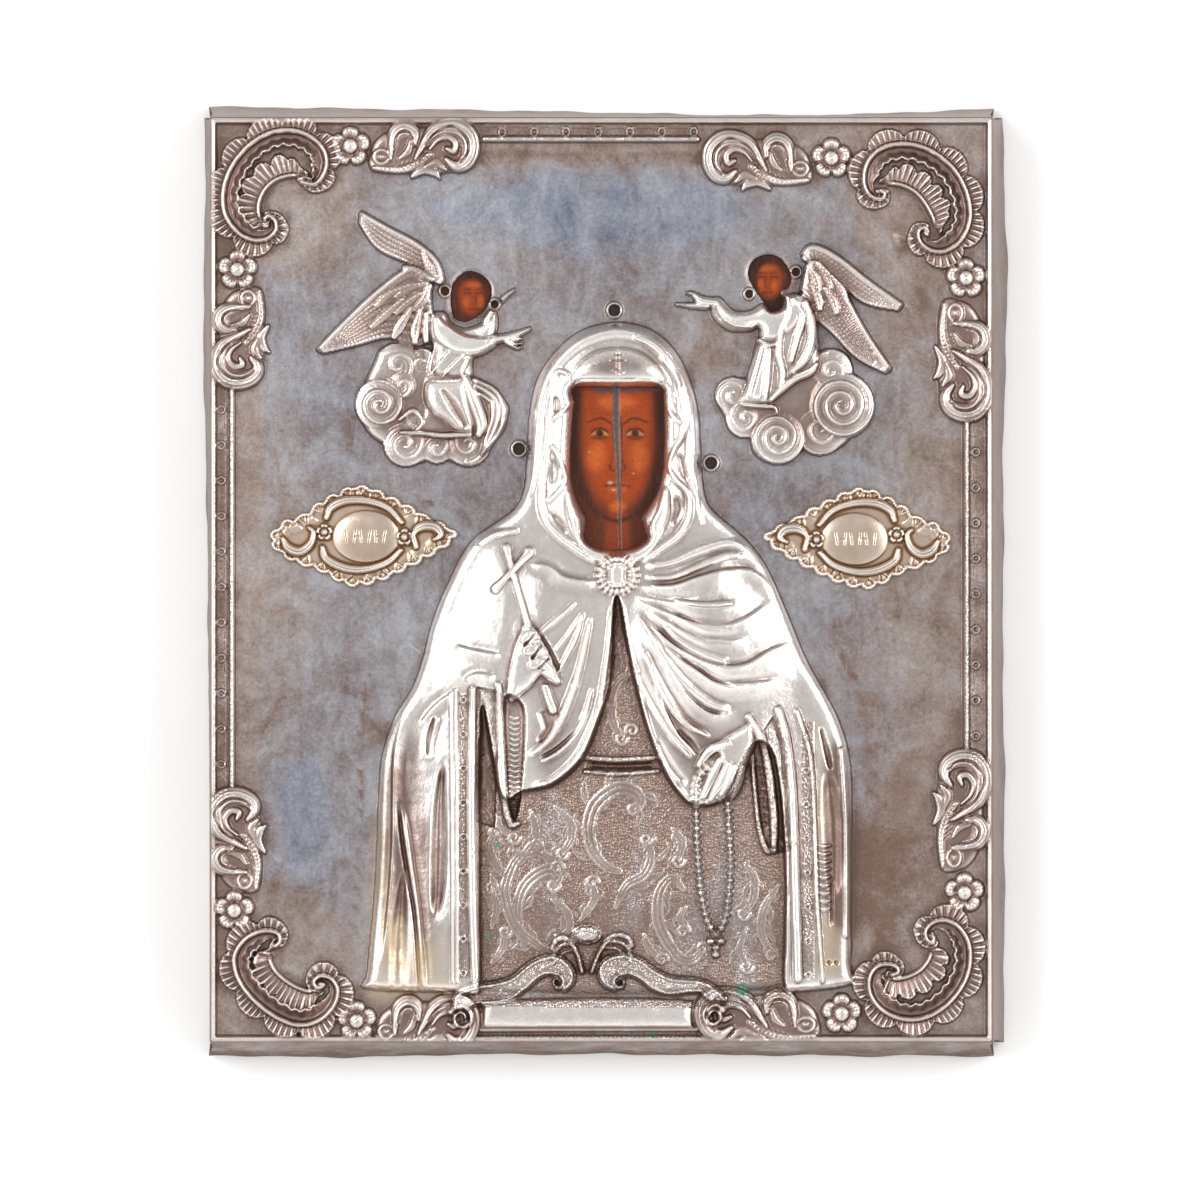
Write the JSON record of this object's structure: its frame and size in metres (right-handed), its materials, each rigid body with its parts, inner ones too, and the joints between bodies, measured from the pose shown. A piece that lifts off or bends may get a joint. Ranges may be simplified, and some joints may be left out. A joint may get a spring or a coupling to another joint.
{
  "type": "icon panel",
  "caption": "Painted icon panel under an embossed silver cover: a hooded saint with cross and beads, angels on clouds, shell-scroll corners, gilt name plates and openings for the painted heads.",
  "frame": {"origin": "middle of the underside of the board, which is the panel's back", "axes": "the panel lies on its back: +Z is the front's outward normal, +Y the picture's top, +X the picture's right"},
  "size_m": [0.2302, 0.2723, 0.0354],
  "materials": {
    "painted_wood": "varnished egg paint on gesso, bare aged wood on sides and back",
    "silver": "embossed silver, tarnished in the ground and polished on the high relief",
    "gilt": "worn pale gilding on silver"
  },
  "bodies": {
    "root": {"board": "painted_wood", "silver_cover": "silver", "name_plate_left": "gilt", "name_plate_right": "gilt"}
  },
  "joints": []
}
